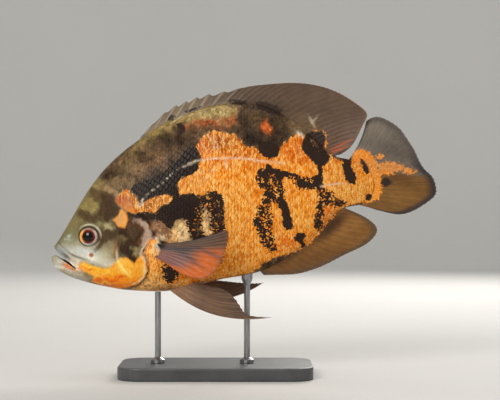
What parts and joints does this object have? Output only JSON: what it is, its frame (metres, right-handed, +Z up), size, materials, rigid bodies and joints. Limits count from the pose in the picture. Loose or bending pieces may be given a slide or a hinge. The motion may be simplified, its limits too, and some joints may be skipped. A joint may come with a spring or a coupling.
{
  "type": "oscar fish display model",
  "caption": "Life-size oscar cichlid in swimming pose, nose slightly down, held by two short rods on a flat display base.",
  "frame": {"origin": "middle of the whole outline, on the underside of the stand's base", "axes": "+Z up; the fish faces -X, so +X runs to its tail, and its left flank faces -Y"},
  "size_m": [0.3005, 0.0996, 0.2285],
  "materials": {
    "head_skin": "wet satin, olive grey with orange jowl",
    "body_skin": "wet satin scales, orange with near-black patches",
    "fin_web": "satin web with fine rays",
    "eye": "high gloss, black pupil, red and orange iris",
    "stand_base": "satin black",
    "stand_rod": "brushed"
  },
  "bodies": {
    "root": {"head": "head_skin", "upper_jaw": "head_skin", "lower_jaw": "head_skin", "gill_cover_left": "head_skin", "gill_cover_right": "head_skin", "trunk": "body_skin", "tail_stalk": "body_skin", "dorsal_fin": "fin_web", "anal_fin": "fin_web", "caudal_fin": "fin_web", "pectoral_fin_left": "fin_web", "pectoral_fin_right": "fin_web", "pelvic_fin_left": "fin_web", "pelvic_fin_right": "fin_web", "eye_left": "eye", "eye_right": "eye", "stand_base": "stand_base", "stand_rod_front": "stand_rod", "stand_rod_rear": "stand_rod"}
  },
  "joints": []
}
